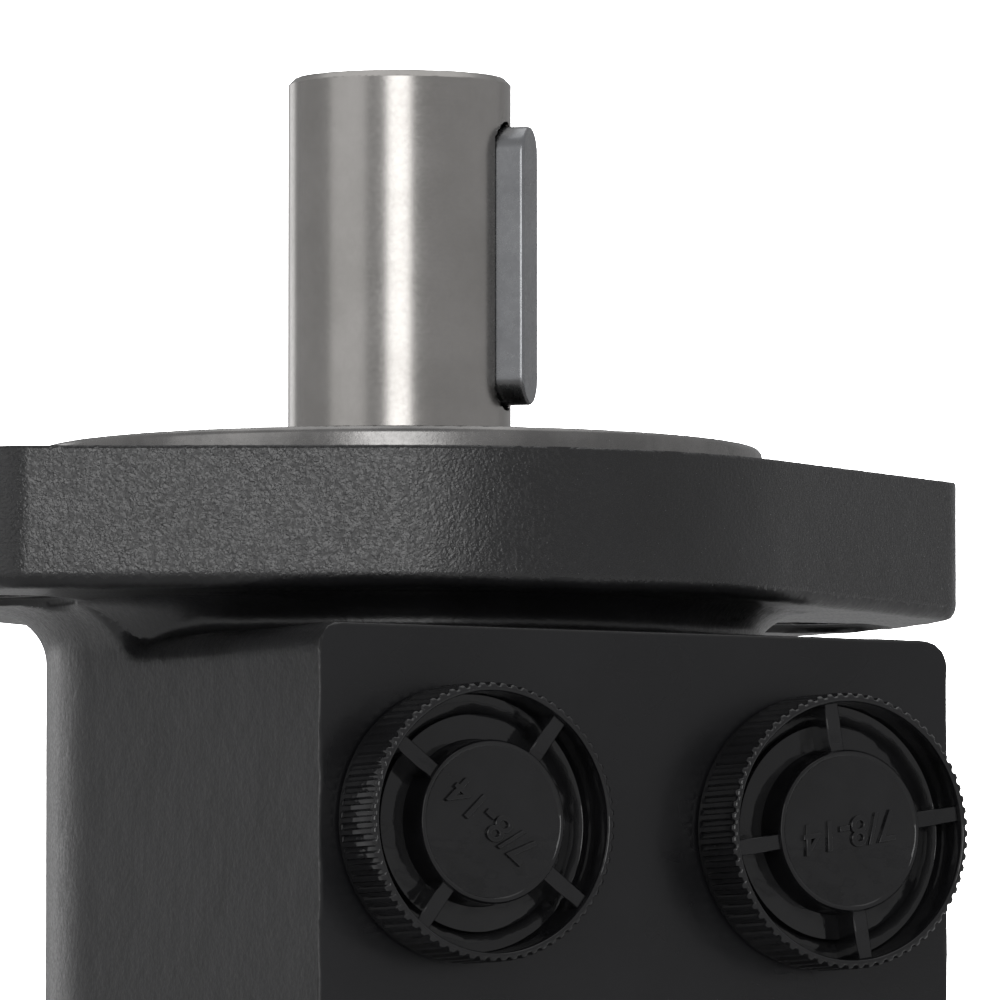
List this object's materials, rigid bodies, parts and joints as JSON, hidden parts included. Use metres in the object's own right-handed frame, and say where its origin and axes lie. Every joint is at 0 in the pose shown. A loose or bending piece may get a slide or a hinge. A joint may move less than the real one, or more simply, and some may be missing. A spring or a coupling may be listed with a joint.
{
  "type": "hydraulic motor",
  "caption": "Orbital hydraulic motor with a two-bolt flange, a keyed output shaft, two plugged side ports, a roller gear set and a bolted end cap.",
  "frame": {"origin": "centre of the end cap's rear face, on the output shaft's axis", "axes": "+Z along the shaft towards its end, -Y out of the two ports, X along the flange's two ears"},
  "size_m": [0.1294, 0.1143, 0.1905],
  "materials": {
    "black_paint": "satin black paint over a cast and machined surface",
    "black_bolt": "satin black paint",
    "ground_steel": "turned and ground",
    "hardened_steel": "hardened and ground",
    "zinc_steel": "zinc plated",
    "machined_iron": "turned",
    "black_plastic": "gloss moulded",
    "seal_rubber": "matte"
  },
  "bodies": {
    "housing": {"housing": "black_paint", "front_cover": "machined_iron", "cover_screw_1": "zinc_steel", "cover_screw_2": "zinc_steel", "cover_screw_3": "zinc_steel", "cover_screw_4": "zinc_steel", "cover_o_ring": "seal_rubber", "dust_seal": "seal_rubber", "shaft_seal": "seal_rubber", "backup_washer": "hardened_steel", "thrust_race_front": "hardened_steel", "spacer_plate": "black_paint", "geroler_ring": "black_paint", "end_cap": "black_paint", "end_bolt_1": "black_bolt", "end_bolt_2": "black_bolt", "end_bolt_3": "black_bolt", "end_bolt_4": "black_bolt", "end_bolt_5": "black_bolt", "end_bolt_6": "black_bolt", "end_bolt_7": "black_bolt", "body_seal_front": "seal_rubber", "body_seal_middle": "seal_rubber", "body_seal_rear": "seal_rubber", "drain_seal": "seal_rubber", "drain_plug": "zinc_steel"},
    "output": {"output_shaft": "ground_steel", "shaft_key": "ground_steel", "thrust_race_rear": "hardened_steel"},
    "bearing_cage": {"needle_cage": "hardened_steel"},
    "orbiter": {"drive_spacer": "hardened_steel"},
    "rotor": {"rotor": "hardened_steel"},
    "cardan": {"cardan_drive": "hardened_steel"},
    "roller_1": {"roller_1": "hardened_steel"},
    "roller_2": {"roller_2": "hardened_steel"},
    "roller_3": {"roller_3": "hardened_steel"},
    "roller_4": {"roller_4": "hardened_steel"},
    "roller_5": {"roller_5": "hardened_steel"},
    "roller_6": {"roller_6": "hardened_steel"},
    "roller_7": {"roller_7": "hardened_steel"},
    "left_check_ball": {"check_ball_left": "hardened_steel"},
    "right_check_ball": {"check_ball_right": "hardened_steel"},
    "left_plug_seal": {"plug_o_ring_left": "seal_rubber"},
    "left_plug": {"port_plug_left": "black_plastic"},
    "right_plug_seal": {"plug_o_ring_right": "seal_rubber"},
    "right_plug": {"port_plug_right": "black_plastic"}
  },
  "joints": [
    {"name": "shaft_spin", "type": "hinge", "parent": "housing", "child": "output", "pos_m": [0, 0, 0.1396], "axis": [0, 0, 1], "continuous": true},
    {"name": "cage_spin", "type": "hinge", "parent": "housing", "child": "bearing_cage", "pos_m": [0, 0, 0.125], "axis": [0, 0, 1], "continuous": true},
    {"name": "rotor_orbit", "type": "hinge", "parent": "housing", "child": "orbiter", "pos_m": [0, 0, 0.023], "axis": [0, 0, 1], "continuous": true},
    {"name": "rotor_spin", "type": "hinge", "parent": "orbiter", "child": "rotor", "pos_m": [0, 0.00275, 0.023], "axis": [0, 0, 1], "continuous": true},
    {"name": "cardan_spin", "type": "hinge", "parent": "orbiter", "child": "cardan", "pos_m": [0, 0, 0.1026], "axis": [0, -0.0345, 0.9994], "continuous": true},
    {"name": "roller_1_spin", "type": "hinge", "parent": "housing", "child": "roller_1", "pos_m": [0, 0.0265, 0.023], "axis": [0, 0, 1], "continuous": true},
    {"name": "roller_2_spin", "type": "hinge", "parent": "housing", "child": "roller_2", "pos_m": [-0.02072, 0.01652, 0.023], "axis": [0, 0, 1], "continuous": true},
    {"name": "roller_3_spin", "type": "hinge", "parent": "housing", "child": "roller_3", "pos_m": [-0.02584, -0.0059, 0.023], "axis": [0, 0, 1], "continuous": true},
    {"name": "roller_4_spin", "type": "hinge", "parent": "housing", "child": "roller_4", "pos_m": [-0.0115, -0.02388, 0.023], "axis": [0, 0, 1], "continuous": true},
    {"name": "roller_5_spin", "type": "hinge", "parent": "housing", "child": "roller_5", "pos_m": [0.0115, -0.02388, 0.023], "axis": [0, 0, 1], "continuous": true},
    {"name": "roller_6_spin", "type": "hinge", "parent": "housing", "child": "roller_6", "pos_m": [0.02584, -0.0059, 0.023], "axis": [0, 0, 1], "continuous": true},
    {"name": "roller_7_spin", "type": "hinge", "parent": "housing", "child": "roller_7", "pos_m": [0.02072, 0.01652, 0.023], "axis": [0, 0, 1], "continuous": true},
    {"name": "left_check_lift", "type": "slide", "parent": "housing", "child": "left_check_ball", "axis": [0, 0, -1], "range_m": [0, 0.001]},
    {"name": "right_check_lift", "type": "slide", "parent": "housing", "child": "right_check_ball", "axis": [0, 0, -1], "range_m": [0, 0.001]},
    {"name": "left_plug_travel", "type": "slide", "parent": "housing", "child": "left_plug_seal", "axis": [0, -1, 0], "range_m": [0, 0.0129]},
    {"name": "left_plug_turn", "type": "hinge", "parent": "left_plug_seal", "child": "left_plug", "pos_m": [-0.0227, -0.0538, 0.0973], "axis": [0, -1, 0], "range_deg": [0, 2520]},
    {"name": "right_plug_travel", "type": "slide", "parent": "housing", "child": "right_plug_seal", "axis": [0, -1, 0], "range_m": [0, 0.0129]},
    {"name": "right_plug_turn", "type": "hinge", "parent": "right_plug_seal", "child": "right_plug", "pos_m": [0.0227, -0.0538, 0.0973], "axis": [0, -1, 0], "range_deg": [0, 2520]}
  ],
  "couplings": [
    {"joint": "cage_spin", "follows": "shaft_spin", "ratio": 0.5},
    {"joint": "rotor_orbit", "follows": "shaft_spin", "ratio": -6},
    {"joint": "rotor_spin", "follows": "shaft_spin", "ratio": 7},
    {"joint": "cardan_spin", "follows": "shaft_spin", "ratio": 7},
    {"joint": "left_plug_travel", "follows": "left_plug_turn", "m_per_rad": 0.00028875},
    {"joint": "right_plug_travel", "follows": "right_plug_turn", "m_per_rad": 0.00028875}
  ]
}
